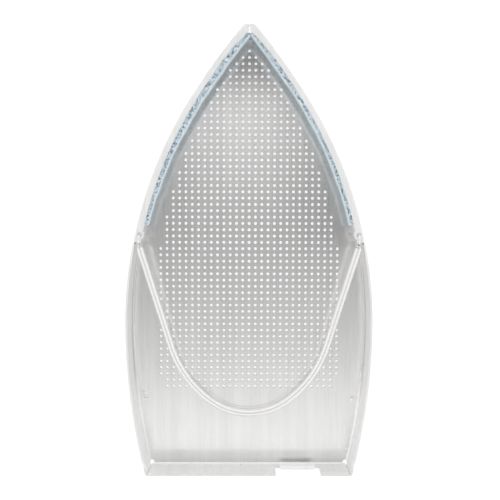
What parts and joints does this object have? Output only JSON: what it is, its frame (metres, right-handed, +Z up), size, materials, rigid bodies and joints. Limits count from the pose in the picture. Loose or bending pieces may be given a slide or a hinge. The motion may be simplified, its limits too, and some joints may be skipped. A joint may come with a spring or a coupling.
{
  "type": "iron shoe cover",
  "caption": "Slip-on sole shoe for a steam iron: perforated folded metal pan with a lipped nose, felt strips, non-stick sheet and a swing-over coil spring at the heel.",
  "frame": {"origin": "middle of the underside, half way from nose to heel wall", "axes": "+Y towards the nose, +Z up, +X to the right"},
  "size_m": [0.1204, 0.2194, 0.0177],
  "materials": {
    "sole_sheet": "smooth non-stick sheet",
    "pan": "brushed along its length",
    "felt": "speckled pressed felt",
    "spring": "bright drawn wire"
  },
  "bodies": {
    "shoe": {"sole_sheet": "sole_sheet", "pan": "pan", "felt_strip_right": "felt", "felt_strip_left": "felt"},
    "spring": {"heel_spring": "spring"}
  },
  "joints": [
    {"name": "spring_swing", "type": "hinge", "parent": "shoe", "child": "spring", "pos_m": [0, 0.0065, 0.015], "axis": [-1, 0, 0], "range_deg": [0, 150]}
  ]
}
